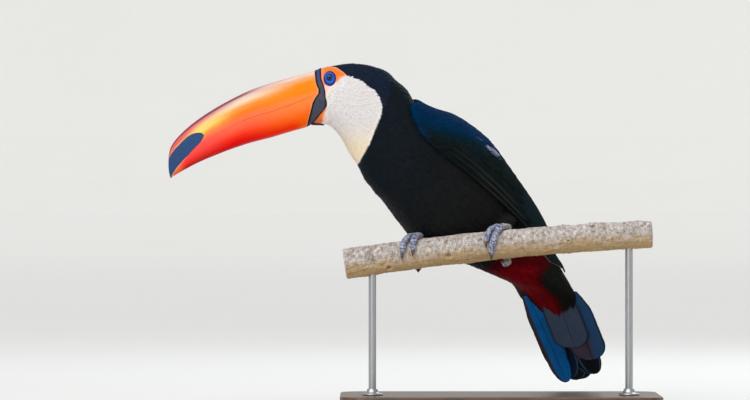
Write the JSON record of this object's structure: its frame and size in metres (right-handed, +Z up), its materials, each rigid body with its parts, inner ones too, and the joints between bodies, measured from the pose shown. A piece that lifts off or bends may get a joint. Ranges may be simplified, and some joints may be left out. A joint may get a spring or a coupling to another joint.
{
  "type": "toucan model",
  "caption": "Life-size toco toucan with a long curved bill, hunched on a cut length of branch that two rods hold over a flat display base.",
  "frame": {"origin": "centre of the stand base's underside, at floor level", "axes": "+Z up; the bird looks towards -X and its left side faces -Y; the perch runs along X"},
  "size_m": [0.518, 0.2142, 0.3619],
  "materials": {
    "black_plumage": "soft black feathers",
    "wing_plumage": "black feathers with a blue sheen",
    "bib": "white feathers on the face and throat, black over the crown and nape",
    "crissum": "red feathers under the tail, white above it",
    "bill": "horny bill, orange with a black base band and tip patch, satin gloss",
    "eye": "wet dark eye",
    "foot_skin": "blue-grey scaly skin",
    "claw": "dark horn",
    "bark": "pale rough bark",
    "base_wood": "dark stained wood, satin",
    "rod_steel": "brushed"
  },
  "bodies": {
    "root": {"bill_lower": "bill", "bill_upper": "bill", "claw_left_1": "claw", "claw_left_2": "claw", "claw_left_3": "claw", "claw_left_4": "claw", "claw_right_1": "claw", "claw_right_2": "claw", "claw_right_3": "claw", "claw_right_4": "claw", "eye_left": "eye", "eye_right": "eye", "flight_feathers_left": "wing_plumage", "flight_feathers_right": "wing_plumage", "foot_left": "foot_skin", "foot_right": "foot_skin", "head": "bib", "neck": "black_plumage", "perch": "bark", "stand_base": "base_wood", "stand_rod_left": "rod_steel", "stand_rod_right": "rod_steel", "tail_base": "crissum", "tail_feather_left_1": "black_plumage", "tail_feather_left_2": "black_plumage", "tail_feather_left_3": "black_plumage", "tail_feather_left_4": "black_plumage", "tail_feather_left_5": "black_plumage", "tail_feather_right_1": "black_plumage", "tail_feather_right_2": "black_plumage", "tail_feather_right_3": "black_plumage", "tail_feather_right_4": "black_plumage", "tail_feather_right_5": "black_plumage", "thigh_left": "black_plumage", "thigh_right": "black_plumage", "trunk": "black_plumage", "wing_left": "wing_plumage", "wing_right": "wing_plumage"}
  },
  "joints": []
}
